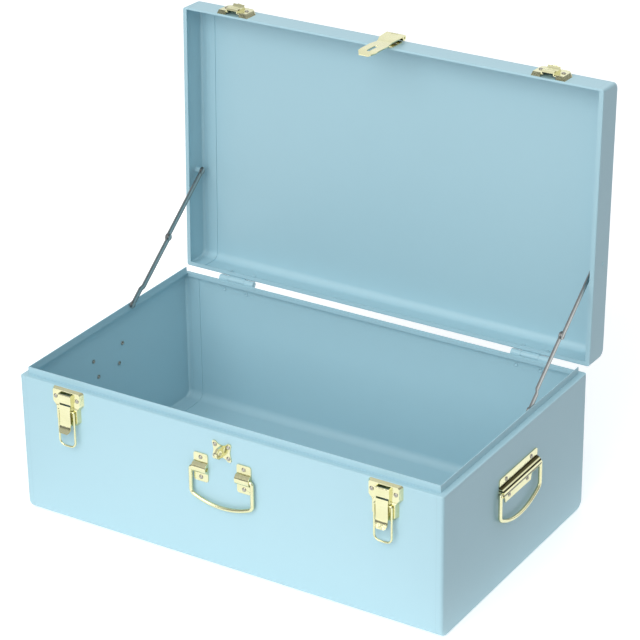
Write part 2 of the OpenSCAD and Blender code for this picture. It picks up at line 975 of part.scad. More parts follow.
module hasp_strap() {
    open_lid()
        color(brass)
            difference() {
                union() {
                    intersection() {
                        at_front()
                            across(60)
                                strap_side_profile();
                        at_front()
                            raised(20)
                                strap_front_outline();
                    }
                    hasp_axis()
                        cylinder(2 * strap_half, r = hasp_knuckle_r, center = true);
                }
                hasp_axis()
                    cylinder(40, r = hasp_pin_r + pin_fit, center = true);
                hasp_axis()
                    cylinder(2 * hasp_mid + 0.5, r = hasp_knuckle_r + 0.4, center = true);
            }
}

module hasp_pin() {
    open_lid()
        color(brass)
            hasp_axis()
                cylinder(2 * strap_half + 0.6, r = hasp_pin_r, center = true);
}

module hasp_rivets() {
    open_lid()
        color(brass)
            hasp_rivet_places()
                rivet(leaf_t);
}

module staple_plate() {
    color(brass)
        difference() {
            at_front(0, -staple_z)
                raised(leaf_t)
                    difference() {
                        rounded_square([staple_plate_w, staple_plate_h], 2.5);
                        square([staple_t + 0.1, staple_loop_h + 0.1], center = true);
                    }
            staple_rivet_places() rivet_hole();
        }
}

// The staple's loop seats in the plate's slot and stands square to the wall
module staple_loop() {
    round_r = staple_loop_h / 2;
    color(brass)
        at_front(0, -staple_z)
            across(staple_t)
                difference() {
                    union() {
                        translate([0, -round_r])
                            square([staple_out - round_r, staple_loop_h]);
                        translate([staple_out - round_r, 0])
                            circle(round_r);
                    }
                    translate([staple_out - round_r, 0])
                        circle(staple_hole_r);
                }
}

module staple_rivets() {
    color(brass)
        staple_rivet_places()
            rivet(leaf_t);
}

// Handles: riveted plates with a pressed bead, and wire bails

module bead(length) {
    difference() {
        rotate([0, 90, 0])
            cylinder(length, r = bead_r, center = true);
        translate([-length, 0, -bead_r - 1])
            cube([2 * length, bead_r + 1, 2 * bead_r + 2]);
    }
}

module bead_bore() {
    translate([0, -wire_out, 0])
        rotate([0, 90, 0])
            cylinder(2 * side_plate_w, r = wire_r + wire_fit, center = true);
}

module front_handle_bracket(side) {
    color(brass)
        difference() {
            at_front(side * bracket_x, -front_pivot_z) {
                raised(leaf_t)
                    rounded_square([bracket_w, bracket_h], 2.5);
                bead(bracket_w);
            }
            at_front(0, -front_pivot_z)
                bead_bore();
            front_handle_rivet_places() rivet_hole();
        }
}

module front_handle_bail() {
    color(brass)
        at_front(0, -front_pivot_z)
            translate([0, -wire_out, 0])
                bail(wire_r, bracket_x - bracket_w / 2 + 2, front_leg_x, front_drop, 3, 6, 80);
}

module front_handle_rivets() {
    color(brass)
        front_handle_rivet_places()
            rivet(leaf_t);
}

module side_plate_outline() {
    w = side_plate_w / 2;
    low = side_rivet_low[0] + 8;
    h = side_plate_h / 2;
    difference() {
        rounded_square([side_plate_w, side_plate_h], 3);
        for (s = [-1, 1])
            translate([s * w, -h])
                circle(w - low);
    }
}

module side_handle_plate(side) {
    color(brass)
        difference() {
            at_end(side)
                translate([0, 0, -side_pivot_z])
                    difference() {
                        union() {
                            raised(leaf_t)
                                side_plate_outline();
                            bead(side_plate_w);
                        }
                        bead_bore();
                    }
            side_rivet_places(side) rivet_hole();
        }
}

module side_handle_bail(side) {
    color(brass)
        at_end(side)
            translate([0, -wire_out, -side_pivot_z])
                bail(wire_r, side_plate_w / 2 - 14, side_leg_y, side_drop, 2.4, 7, 78);
}

module side_handle_rivets() {
    color(brass)
        for (side = [-1, 1])
            side_rivet_places(side)
                rivet(leaf_t);
}

// Stays: two flat arms each side, jointed at the knuckle, straight when the lid is open

module stay_frame(side, origin) {
    mirror([side < 0 ? 1 : 0, 0, 0])
        translate([0, origin[0], origin[1]])
            rotate([stay_angle, 0, 0])
                children();
}

// Flat arm outline along y from one eye to the other
module stay_outline(length) {
    translate([0, -stay_w / 2])
        square([length, stay_w]);
    circle(stay_w / 2);
    translate([length, 0])
        circle(stay_w / 2);
}

module stay_layer(x) {
    translate([x - stay_t, 0, 0])
        rotate([90, 0, 90])
            linear_extrude(stay_t)
                children();
}

module stay_hole(y) {
    translate([0, y, 0])
        rotate([0, 90, 0])
            cylinder(2 * trunk_w, r = stay_hole_r, center = true);
}

module stay_upper(side) {
    color(zinc)
        stay_frame(side, stay_foot)
            translate([0, stay_arm, 0])
                difference() {
                    stay_layer(stay_outer_x)
                        stay_outline(stay_arm);
                    stay_hole(0);
                    stay_hole(stay_arm);
                }
}

// The lower arm steps inwards past its foot so that it can fold over the upper arm
module stay_lower(side) {
    step = stay_t + stay_between;
    color(zinc)
        stay_frame(side, stay_foot)
            difference() {
                union() {
                    stay_layer(stay_outer_x)
                        intersection() {
                            stay_outline(stay_arm);
                            translate([-stay_w, -stay_w])
                                square([stay_w + stay_joggle, 2 * stay_w]);
                        }
                    stay_layer(stay_inner_x)
                        intersection() {
                            stay_outline(stay_arm);
                            translate([stay_joggle + stay_joggle_len, -stay_w])
                                square([stay_arm, 2 * stay_w]);
                        }
                    translate([0, 0, -stay_w / 2])
                        linear_extrude(stay_w)
                            polygon([
                                [stay_outer_x, stay_joggle - bit],
                                [stay_outer_x - stay_t, stay_joggle - bit],
                                [stay_inner_x - stay_t, stay_joggle + stay_joggle_len + bit],
                                [stay_inner_x, stay_joggle + stay_joggle_len + bit]
                            ]);
                }
                stay_hole(0);
                stay_hole(stay_arm);
            }
}

// Standoff that carries the upper arm's eye clear of the lid's end wall
module stay_lid_post(side) {
    wall = half_w - sheet;
    color(zinc)
        open_lid()
            mirror([side < 0 ? 1 : 0, 0, 0])
                translate([0, stay_lid_y, body_h + stay_lid_z])
                    rotate([0, 90, 0]) {
                        translate([0, 0, stay_outer_x + 0.2])
                            cylinder(wall - stay_outer_x - 0.2, r = post_r);
                        translate([0, 0, stay_outer_x - stay_t - 0.2])
                            cylinder(stay_t + 1, r = stay_rivet_r);
                        translate([0, 0, stay_outer_x - stay_t - 0.2 - stay_head_t])
                            cylinder(stay_head_t, r = stay_head_r);
                        translate([0, 0, wall - bit])
                            cylinder(sheet + 2 * bit, r = rivet_r);
                        translate([0, 0, half_w])
                            dome(rivet_head_r, rivet_head_h);
                    }
}

module stay_rivet(side, at, inner, outer) {
    color(zinc)
        stay_frame(side, stay_foot)
            translate([0, at, 0])
                rotate([0, 90, 0]) {
                    translate([0, 0, inner - 0.1])
                        cylinder(outer - inner + 0.1, r = stay_rivet_r);
                    translate([0, 0, inner - 0.1 - stay_head_t])
                        cylinder(stay_head_t, r = stay_head_r);
                }
}

module stay_knuckle_rivet(side) {
    stay_rivet(side, stay_arm, stay_inner_x - stay_t, stay_outer_x);
}

module stay_foot_rivet(side) {
    stay_rivet(side, 0, stay_outer_x - stay_t, stay_outer_x);
}

body_wrap();
body_end(-1);  // body_end_left
body_end(1);  // body_end_right
lid_wrap();
lid_end(-1);  // lid_end_left
lid_end(1);  // lid_end_right
hinge_leaf(-1, -1);  // hinge_left_body_leaf
open_lid() hinge_leaf(-1, 1);  // hinge_left_lid_leaf
hinge_pin(-1);  // hinge_left_pin
hinge_leaf(1, -1);  // hinge_right_body_leaf
open_lid() hinge_leaf(1, 1);  // hinge_right_lid_leaf
hinge_pin(1);  // hinge_right_pin
hinge_rivets(-1);  // hinge_body_rivets
open_lid() hinge_rivets(1);  // hinge_lid_rivets
latch_base(-1);  // latch_left_base
latch_lever(-1);  // latch_left_lever
latch_link(-1);  // latch_left_link
latch_pin(-1);  // latch_left_pin
latch_base(1);  // latch_right_base
latch_lever(1);  // latch_right_lever
latch_link(1);  // latch_right_link
latch_pin(1);  // latch_right_pin
latch_rivets();
catch_plate(-1);  // catch_left
catch_plate(1);  // catch_right
catch_rivets();
hasp_leaf();
hasp_strap();
hasp_pin();
hasp_rivets();
staple_plate();
staple_loop();
staple_rivets();
front_handle_bracket(-1);  // front_handle_bracket_left
front_handle_bracket(1);  // front_handle_bracket_right
front_handle_bail();
front_handle_rivets();
side_handle_plate(-1);  // side_handle_left_plate
side_handle_bail(-1);  // side_handle_left_bail
side_handle_plate(1);  // side_handle_right_plate
side_handle_bail(1);  // side_handle_right_bail
side_handle_rivets();
stay_upper(-1);  // stay_left_upper
stay_lower(-1);  // stay_left_lower
stay_lid_post(-1);  // stay_left_lid_post
stay_knuckle_rivet(-1);  // stay_left_knuckle_rivet
stay_foot_rivet(-1);  // stay_left_foot_rivet
stay_upper(1);  // stay_right_upper
stay_lower(1);  // stay_right_lower
stay_lid_post(1);  // stay_right_lid_post
stay_knuckle_rivet(1);  // stay_right_knuckle_rivet
stay_foot_rivet(1);  // stay_right_foot_rivet
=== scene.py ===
"""Looks of the small tin trunk: powder-coated sheet, brass-plated hardware, zinc-plated stays."""

from math import asin, atan2, cos, degrees, radians, sin, sqrt

import bmesh
import bpy
from mathutils import Matrix, Vector


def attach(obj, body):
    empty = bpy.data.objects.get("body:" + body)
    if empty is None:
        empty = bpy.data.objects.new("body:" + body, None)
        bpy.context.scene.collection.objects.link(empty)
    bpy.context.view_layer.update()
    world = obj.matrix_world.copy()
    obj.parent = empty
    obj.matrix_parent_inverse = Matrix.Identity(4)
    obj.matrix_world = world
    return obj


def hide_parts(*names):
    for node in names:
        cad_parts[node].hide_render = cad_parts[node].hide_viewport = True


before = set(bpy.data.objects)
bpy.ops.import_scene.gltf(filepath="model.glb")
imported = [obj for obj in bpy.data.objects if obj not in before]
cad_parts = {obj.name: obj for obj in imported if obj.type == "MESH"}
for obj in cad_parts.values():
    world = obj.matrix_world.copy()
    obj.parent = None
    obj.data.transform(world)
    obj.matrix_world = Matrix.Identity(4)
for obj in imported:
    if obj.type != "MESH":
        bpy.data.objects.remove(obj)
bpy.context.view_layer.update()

# ---- Camera and studio ----
# The photograph looks down on the front right corner through a long lens.
# The trunk stands on a white sweep under large soft lights, in a pale room.

CAMERA_PLACE = Vector((1.2694, -1.9869, 1.3596))
CAMERA_TARGET = Vector((0.0216, 0.0, 0.2244))
CAMERA_ROLL = -0.0128
LENS_MM, SENSOR_MM = 144.9, 36
VIEW_END = 60

forward = (CAMERA_TARGET - CAMERA_PLACE).normalized()
level_right = forward.cross(Vector((0, 0, 1))).normalized()
level_up = level_right.cross(forward)
camera_right = level_right * cos(CAMERA_ROLL) + level_up * sin(CAMERA_ROLL)
camera_up = level_up * cos(CAMERA_ROLL) - level_right * sin(CAMERA_ROLL)
camera = bpy.data.objects.new("camera", bpy.data.cameras.new("camera"))
camera.data.lens, camera.data.sensor_width = LENS_MM, SENSOR_MM
camera.data.clip_end = VIEW_END
turn = Matrix((camera_right, camera_up, -forward)).transposed().to_4x4()
camera.matrix_world = Matrix.Translation(CAMERA_PLACE) @ turn
bpy.context.collection.objects.link(camera)
bpy.context.scene.camera = camera
bpy.context.scene.view_settings.view_transform = "Standard"


def soft_box(name, place, target, size, watts):
    """A rectangular area light that faces its target."""
    lamp = bpy.data.lights.new(name, "AREA")
    lamp.shape = "RECTANGLE"
    lamp.size, lamp.size_y = size
    lamp.energy = watts
    box = bpy.data.objects.new(name, lamp)
    aim = (Vector(target) - Vector(place)).to_track_quat("-Z", "Y").to_matrix().to_4x4()
    box.matrix_world = Matrix.Translation(place) @ aim
    bpy.context.collection.objects.link(box)


soft_box("key_light", place=(0.1, -3.4, 2.4), target=(0, 0, 0.12), size=(3.6, 3.2), watts=104)
soft_box("fill_light", place=(2.7, -0.7, 1.1), target=(0, 0, 0.2), size=(1.2, 1.2), watts=2)
soft_box("top_light", place=(0.0, -0.4, 3.0), target=(0, 0, 0), size=(3.0, 2.6), watts=8)


class Flow:
    """A socket of a shader's node tree that takes part in Python arithmetic."""

    def __init__(self, tree, socket):
        self.tree, self.socket = tree, socket

    def node(self, kind, inputs, output=0, stops=None, **settings):
        """Adds a node of any kind, sets or links its inputs and gives one of its outputs."""
        made = self.tree.nodes.new(kind)
        for name, value in settings.items():
            setattr(made, name, value)
        if stops:
            ramp = made.color_ramp.elements
            while len(ramp) < len(stops):
                ramp.new(1.0)
            for element, (place, colour) in zip(ramp, stops):
                element.position, element.color = place, colour
        for name, value in inputs.items():
            if isinstance(value, Flow):
                self.tree.links.new(value.socket, made.inputs[name])
            else:
                made.inputs[name].default_value = value
        return Flow(self.tree, made.outputs[output])

    def maths(self, operation, a, b=0.0):
        return self.node("ShaderNodeMath", {0: a, 1: b}, operation=operation)

    def __add__(self, other):
        return self.maths("ADD", self, other)

    def __radd__(self, other):
        return self.maths("ADD", other, self)

    def __sub__(self, other):
        return self.maths("SUBTRACT", self, other)

    def __rsub__(self, other):
        return self.maths("SUBTRACT", other, self)

    def __mul__(self, other):
        return self.maths("MULTIPLY", self, other)

    def __rmul__(self, other):
        return self.maths("MULTIPLY", other, self)

    def __abs__(self):
        return self.maths("ABSOLUTE", self)

    def axis(self, name):
        """This vector's X, Y or Z."""
        return self.node("ShaderNodeSeparateXYZ", {"Vector": self}, output=name)

    def between(self, low, high):
        """0 at low, 1 at high and smooth in between."""
        return self.node("ShaderNodeMapRange", {"Value": self, "From Min": low, "From Max": high},
                         interpolation_type="SMOOTHSTEP")

    def noise(self, scale, detail=2.0, stretch=(1, 1, 1), turn=(0, 0, 0)):
        """Noise over this vector, in waves per metre."""
        placed = self.node("ShaderNodeMapping",
                           {"Vector": self, "Scale": stretch, "Rotation": turn})
        return self.node("ShaderNodeTexNoise", {"Vector": placed, "Scale": scale, "Detail": detail})

    def mix(self, low, high):
        """The colour low where this is 0, high where it is 1."""
        return self.node("ShaderNodeMix", {0: self, 6: low, 7: high}, output=2, data_type="RGBA")


def new_material(name, uniform, varying):
    """A Principled material; varying(coords) gives the linked sockets, with Height in metres."""
    made = bpy.data.materials.new(name)
    made.use_nodes = True
    tree = made.node_tree
    shader = tree.nodes["Principled BSDF"]
    for socket, value in uniform.items():
        shader.inputs[socket].default_value = value
    coords = Flow(tree, tree.nodes.new("ShaderNodeTexCoord").outputs["Object"])
    for socket, value in varying(coords).items():
        if socket == "Height":
            value = coords.node("ShaderNodeBump", {"Height": value, "Distance": 1.0})
            socket = "Normal"
        tree.links.new(value.socket, shader.inputs[socket])
    return made


FLOOR_CORNERS = [(-9, -6, 0), (9, -6, 0), (9, 14, 0), (-9, 14, 0)]
FLOOR_DEEP, FLOOR_PALE = (0.86, 0.87, 0.88, 1), (0.90, 0.905, 0.91, 1)
FLOOR_SHADE = (0.30, 0.32, 0.34, 1)
SHADE_FROM, SHADE_TO = 0.24, 0.36
GLOW, GLOW_SHADE = (1, 1, 1, 1), (0.1, 0.1, 0.1, 1)
GLOW_STRENGTH = 0.36


def sweep_look(coords):
    """A pale floor that throws less light on the trunk's ends than its own tone would."""
    cloud = coords.noise(1.6)
    beside = abs(coords.axis("X")).between(SHADE_FROM, SHADE_TO)
    bounce = coords.node("ShaderNodeLightPath", {}, output="Is Diffuse Ray") * beside
    return {
        "Base Color": bounce.mix(cloud.mix(FLOOR_DEEP, FLOOR_PALE), FLOOR_SHADE),
        "Roughness": 0.75 + 0.1 * cloud,
        "Emission Color": bounce.mix(GLOW, GLOW_SHADE),
    }


floor_mesh = bpy.data.meshes.new("floor")
floor_mesh.from_pydata(FLOOR_CORNERS, [], [(0, 1, 2, 3)])
floor_look = new_material("studio_floor", {"Emission Strength": GLOW_STRENGTH}, sweep_look)
floor_mesh.materials.append(floor_look)
floor = bpy.data.objects.new("floor", floor_mesh)
bpy.context.collection.objects.link(floor)

# The room is dark low down and pale above, dimmer to both ends and brighter behind the trunk.
ROOM_BY_HEIGHT = [(0.0, (0.30, 0.32, 0.34, 1)), (0.1, (0.16, 0.17, 0.18, 1)),
                  (0.24, (0.86, 0.88, 0.90, 1)), (0.6, (0.92, 0.94, 0.96, 1)),
                  (1.0, (0.80, 0.82, 0.84, 1))]
ROOM_STRENGTH = 0.78
ENDS_DIMMER, BACK_BRIGHTER = 0.5, 0.75

world = bpy.data.worlds.new("studio")
world.use_nodes = True
room_tree = world.node_tree
around = Flow(room_tree, room_tree.nodes.new("ShaderNodeTexCoord").outputs["Generated"])
walls = around.node("ShaderNodeValToRGB", {"Fac": around.axis("Z")}, stops=ROOM_BY_HEIGHT)
ends = abs(around.axis("X")).between(0.3, 0.95)
back = around.axis("Y").between(0.25, 0.8)
level = (1 - ENDS_DIMMER * ends) * (1 + BACK_BRIGHTER * back)
lit = around.node("ShaderNodeVectorMath", {0: walls, "Scale": level}, operation="SCALE")
background = room_tree.nodes["Background"]
room_tree.links.new(lit.socket, background.inputs["Color"])
background.inputs["Strength"].default_value = ROOM_STRENGTH
bpy.context.scene.world = world

# ---- Painted shell ----
# Body and lid are folded from 0.8 mm steel sheet, each a wrapped sheet with a lapped panel at
# either end. They are powder coated in pale blue, a satin film with a fine orange peel.

SEAM_X, SEAM_HALF = 0.2425, 0.00012
SHEET_EDGE = 0.00022
PAINT_PALE = (0.412, 0.624, 0.696, 1)
PAINT_DEEP = (0.392, 0.602, 0.676, 1)
SEAM_SHADE = (0.16, 0.29, 0.34, 1)


def powder_coat(coords):
    """Orange peel, a soft mottle and a slow drift of tone, with a line where the ends lap."""
    peel = coords.noise(620)
    drift = coords.noise(7, 3)
    mottle = coords.noise(85, 3)
    off_seam = abs(abs(coords.axis("X")) - SEAM_X)
    seam = 1 - off_seam.between(0.4 * SEAM_HALF, 1.6 * SEAM_HALF)
    paint = (0.65 * drift + 0.35 * mottle).mix(PAINT_DEEP, PAINT_PALE)
    return {
        "Base Color": (0.22 * seam).mix(paint, SEAM_SHADE),
        "Roughness": 0.33 + 0.10 * mottle + 0.06 * peel,
        "Height": 0.000012 * peel + 0.00005 * mottle - 0.00006 * seam,
    }


def geometry_tree(name, inputs, output):
    """An empty Geometry Nodes tree with named inputs and one output, and its two end nodes."""
    tree = bpy.data.node_groups.new(name, "GeometryNodeTree")
    for label, kind in inputs.items():
        tree.interface.new_socket(label, in_out="INPUT", socket_type=f"NodeSocket{kind}")
    tree.interface.new_socket(output, in_out="OUTPUT", socket_type="NodeSocketGeometry")
    return tree, tree.nodes.new("NodeGroupInput"), tree.nodes.new("NodeGroupOutput")


def tree_node(tree, kind, values=None, **settings):
    """Adds a node with its settings and the values of its inputs."""
    made = tree.nodes.new(kind)
    for name, value in settings.items():
        setattr(made, name, value)
    for name, value in (values or {}).items():
        made.inputs[name].default_value = value
    return made


def join_up(tree, *links):
    """Links sockets, each link as node and output to node and input."""
    for source, output, target, socket in links:
        tree.links.new(source.outputs[output], target.inputs[socket])


def run_tree(piece, tree, inputs):
    """Puts a tree on a piece as a modifier, its inputs set by their sockets' identifiers."""
    modifier = piece.modifiers.new("tree", "NODES")
    modifier.node_group = tree
    for socket in tree.interface.items_tree:
        if socket.name in inputs:
            modifier[socket.identifier] = inputs[socket.name]


def smooth_tree():
    """Shades faces smooth and keeps edges sharper than an angle."""
    tree, start, end = geometry_tree(
        "smooth_by_angle", {"Geometry": "Geometry", "Angle": "Float"}, "Geometry")
    bare = tree_node(tree, "GeometryNodeRemoveAttribute", {"Name": "custom_normal"})
    smooth = tree_node(tree, "GeometryNodeSetShadeSmooth")
    angle = tree_node(tree, "GeometryNodeInputMeshEdgeAngle")
    wide = tree_node(tree, "FunctionNodeCompare")
    sharp = tree_node(tree, "GeometryNodeSetShadeSmooth", {"Shade Smooth": False}, domain="EDGE")
    join_up(tree,
            (start, "Geometry", bare, "Geometry"),
            (bare, "Geometry", smooth, "Geometry"),
            (smooth, "Geometry", sharp, "Geometry"),
            (angle, "Unsigned Angle", wide, "A"),
            (start, "Angle", wide, "B"),
            (wide, "Result", sharp, "Selection"),
            (sharp, "Geometry", end, "Geometry"))
    return tree


smooth_by_angle = smooth_tree()
WELD_GAP = 0.000003
FLAT_WITHIN, EDGE_FROM, SHARP_FROM = radians(0.5), radians(35), radians(38)


def round_edges(piece, edge):
    """Rounds a piece's edges by modifiers and shades its curves smooth."""
    weld = piece.modifiers.new("weld", "WELD")
    weld.merge_threshold = WELD_GAP
    flat = piece.modifiers.new("flat", "DECIMATE")
    flat.decimate_type = "DISSOLVE"
    flat.angle_limit = FLAT_WITHIN
    bevel = piece.modifiers.new("bevel", "BEVEL")
    bevel.width, bevel.segments = edge, 2
    bevel.limit_method = "ANGLE"
    bevel.angle_limit = EDGE_FROM
    run_tree(piece, smooth_by_angle, {"Angle": SHARP_FROM})
    even = piece.modifiers.new("even", "WEIGHTED_NORMAL")
    even.weight, even.keep_sharp = 100, True


def finish_node(node, material, edge):
    """Gives a CAD node its material and rounds its edges."""
    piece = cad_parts[node]
    for slot in piece.material_slots:
        slot.material = material
    round_edges(piece, edge)


painted = new_material("powder_coat_blue", {"IOR": 1.5}, powder_coat)
for shell in ("body", "lid"):
    for part in ("wrap", "end_left", "end_right"):
        finish_node(f"{shell}_{part}", painted, SHEET_EDGE)

# ---- Hinges ----
# Two butt hinges of 1.2 mm steel are riveted behind the seam before the trunk is coated,
# so their leaves, knuckles, pins and rivets are all under the same paint.

HINGE_EDGE = 0.00025

for side in ("left", "right"):
    for part in ("body_leaf", "lid_leaf", "pin"):
        finish_node(f"hinge_{side}_{part}", painted, HINGE_EDGE)

# ---- Draw latches ----
# Each latch is a pressed base with a lever that turns on a cross pin between its cheeks.
# Both are stamped from 0.9 mm steel, polished and plated with a thin bright brass.

STAMPED_EDGE, PIN_EDGE = 0.00022, 0.00015
BRASS_PALE = (0.85, 0.835, 0.57, 1)
BRASS_DEEP = (0.64, 0.61, 0.32, 1)


def brass_plate(coords):
    """Clouds of tone, a ripple left by the press and fine polishing lines across."""
    cloud = coords.noise(45, 3)
    ripple = coords.noise(260)
    polish = coords.noise(900, stretch=(0.12, 1, 1))
    return {
        "Base Color": (0.7 * cloud + 0.3 * polish).mix(BRASS_DEEP, BRASS_PALE),
        "Roughness": 0.08 + 0.09 * cloud + 0.06 * polish,
        "Height": 0.0001 * ripple + 0.000008 * polish,
    }


brass = new_material("brass_plate", {"Metallic": 1.0}, brass_plate)
for side in ("left", "right"):
    for part in ("base", "lever"):
        finish_node(f"latch_{side}_{part}", brass, STAMPED_EDGE)
    finish_node(f"latch_{side}_pin", brass, PIN_EDGE)

# ---- Catches ----
# Above each latch a catch of the same plated steel is riveted to the lid: a tapered pan, a
# rolled box down its middle and a round tab on top, over which the latch's wire link hooks.
# It is drawn in millimetres over the shut trunk's front wall and seam, then opened with the lid.

WALL, SEAM_Z, HINGE_Y, LID_OPEN = 150, 158, 154, -91.8
MM = 0.001
METRES = Matrix.Scale(MM, 4)
FRONT = Matrix(((1, 0, 0, 0), (0, 0, -1, -WALL), (0, 1, 0, SEAM_Z), (0, 0, 0, 1)))
PROFILE = Matrix(((0, 0, 1, 0), (-1, 0, 0, -WALL), (0, 1, 0, SEAM_Z), (0, 0, 0, 1)))
PLAN = Matrix(((1, 0, 0, 0), (0, -1, 0, -WALL), (0, 0, 1, SEAM_Z), (0, 0, 0, 1)))
OPENED = (Matrix.Translation((0, HINGE_Y, SEAM_Z)) @ Matrix.Rotation(radians(LID_OPEN), 4, "X")
          @ Matrix.Translation((0, -HINGE_Y, -SEAM_Z)))
BEHIND_WALL = Matrix.Translation((0, 0, -1))


def arc(centre, r, first, last, steps):
    """Points about a centre from a first to a last angle in degrees."""
    angles = [radians(first + (last - first) * i / steps) for i in range(steps + 1)]
    return [(centre[0] + r * cos(a), centre[1] + r * sin(a)) for a in angles]


def circle(centre, r, count=24):
    return arc(centre, r, 0, 360 - 360 / count, count - 1)


def oblong(half, low, high):
    return [(-half, low), (half, low), (half, high), (-half, high)]


def mesh_object(name, points, faces):
    """A mesh of points and faces, its faces turned outwards."""
    mesh = bpy.data.meshes.new(name)
    mesh.from_pydata(points, [], faces)
    shape = bmesh.new()
    shape.from_mesh(mesh)
    bmesh.ops.recalc_face_normals(shape, faces=shape.faces)
    shape.to_mesh(mesh)
    shape.free()
    made = bpy.data.objects.new(name, mesh)
    bpy.context.collection.objects.link(made)
    return made


def drawn_out(low, place, depth, high=None):
    """A closed solid from one flat outline to another of as many points."""
    count = len(low)
    points = [place @ Vector((u, v, 0)) for u, v in low]
    points += [place @ Vector((u, v, depth)) for u, v in high or low]
    faces = [(i, (i + 1) % count, count + (i + 1) % count, count + i) for i in range(count)]
    faces += [tuple(range(count)), tuple(range(count, 2 * count))]
    return mesh_object("drawn", points, faces)


def rolled(outline, at, half):
    """A solid with this side profile, in distance from the wall and height over the seam."""
    return drawn_out(outline, at @ Matrix.Translation((-half, 0, 0)) @ PROFILE, 2 * half)


def baked(piece):
    """Turns a piece's modifiers into its mesh."""
    evaluated = piece.evaluated_get(bpy.context.evaluated_depsgraph_get())
    mesh = bpy.data.meshes.new_from_object(evaluated)
    piece.modifiers.clear()
    piece.data = mesh


def stamped(name, base, steps, material, edge, node, body):
    """Joins and cuts a base by other solids, rounds its edges and puts it in the node's place."""
    for operation, tool in steps:
        step = base.modifiers.new("step", "BOOLEAN")
        step.operation, step.object, step.solver = operation, tool, "EXACT"
    baked(base)
    for _, tool in steps:
        bpy.data.objects.remove(tool)
    base.name = base.data.name = name
    base.data.materials.clear()
    base.data.materials.append(material)
    round_edges(base, edge)
    baked(base)
    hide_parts(node)
    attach(base, body)


LATCH_X = 187.5
CATCH_HALF, CATCH_LOW, CATCH_DEEP, CATCH_T = 19, 1.6, 4.6, 0.9
CORNER_X, CORNER_Z, CORNER_R = 13, 17, 6
TAPER_X, TAPER_Z, MIDDLE_Z = 0.9, 0.92, 11.25
HOLLOW_FROM, HOLLOW_DEEP = Matrix.Translation((0, 0, -0.01)), 3.71
BOX_HALF = 7
BOX_LINE = [(3.7, 0.9), (6.2, 0.9), (7.6, 2), (8.2, 4), (7.8, 6.2), (6.9, 7.4), (6.9, 12.5),
            (8.2, 14.8), (10, 15.8), (10, 16.8), (3.7, 16.8)]
BOX_BORE, BOX_BORE_DEEP = oblong(6.1, 0, 15.9), 7
LINK_WAY, LINK_WAY_DEEP = oblong(8.5, -1, 3), 4.7
TAB_WASTE = [(7.3, 3), (7.3, 12), (0, 12)] + arc((0, 2.9), 7.05, 90, 1, 10)
TAB_LEVEL, TAB_CUT = Matrix.Translation((0, 0, 15.6)), 2
CATCH_HOLES, CATCH_HOLE_R, HOLE_DEEP = [(-12.6, 11.5), (12.6, 11.5)], 1.55, 8


def catch_outline(grow):
    """The catch's pan seen from the front, with its rounded upper corners."""
    low, wide, r = CATCH_LOW - grow, CATCH_HALF + grow, CORNER_R + grow
    return ([(-wide, low), (wide, low)] + arc((CORNER_X, CORNER_Z), r, 0, 90, 8)
            + arc((-CORNER_X, CORNER_Z), r, 90, 180, 8))


def tapered(outline):
    """The pan's outline at its full height from the wall."""
    return [(TAPER_X * u, MIDDLE_Z + TAPER_Z * (v - MIDDLE_Z)) for u, v in outline]


outer, inner = catch_outline(0), catch_outline(-CATCH_T)
for side, x in (("left", -LATCH_X), ("right", LATCH_X)):
    at = METRES @ OPENED @ Matrix.Translation((x, 0, 0))
    through = at @ FRONT @ BEHIND_WALL
    pan = drawn_out(outer, at @ FRONT, CATCH_DEEP, tapered(outer))
    cuts = [drawn_out(inner, at @ FRONT @ HOLLOW_FROM, HOLLOW_DEEP, tapered(inner)),
            drawn_out(BOX_BORE, through, BOX_BORE_DEEP),
            drawn_out(LINK_WAY, through, LINK_WAY_DEEP)]
    cuts += [drawn_out([(way * u, out) for u, out in TAB_WASTE], at @ PLAN @ TAB_LEVEL, TAB_CUT)
             for way in (-1, 1)]
    cuts += [drawn_out(circle(hole, CATCH_HOLE_R), through, HOLE_DEEP) for hole in CATCH_HOLES]
    steps = [("UNION", rolled(BOX_LINE, at, BOX_HALF))] + [("DIFFERENCE", cut) for cut in cuts]
    stamped(f"catch_{side}_stamping", pan, steps, brass, STAMPED_EDGE,
            f"catch_{side}", "lid")

# ---- Hasp and staple ----
# The strap turns on a pin in the leaf's knuckle and drops over the staple, which is set in its
# own plate. All are stamped or bent from steel and brass plated as the latches are.

STRAP_T, STRAP_HALF = 1.2, 15
STRAP_LINE = [(7.8, 24), (6.4, 8.5), (5.2, 3.4), (4.6, 0), (4.6, -28), (3.9, -33), (2.6, -40.5)]
STRAP_RIGHT = [(5.5, -40.5), (10.5, -33), (10.5, -9), (8.6, -1), (8.6, 2.5), (10.8, 9), (10.8, 24)]
STRAP_SLOT = arc((0, -14.7), 1.9, 0, 180, 8) + arc((0, -29.9), 1.9, 180, 360, 8)
STRAP_DEEP = 20
KNUCKLE, KNUCKLE_COUNT = (4.6, 24), 36
KNUCKLE_R, KNUCKLE_HALF = 3.2, 10.8
LEAF_GAP_R, LEAF_GAP_HALF = 3.6, 3.85
PIN_BORE_R, PIN_BORE_HALF = 1.25, 20


def mirrored(line):
    """The same line on the other side, run the other way."""
    return [(-x, z) for x, z in reversed(line)]


for node in ("hasp_leaf", "staple_loop"):
    finish_node(node, brass, STAMPED_EDGE)
finish_node("hasp_pin", brass, PIN_EDGE)

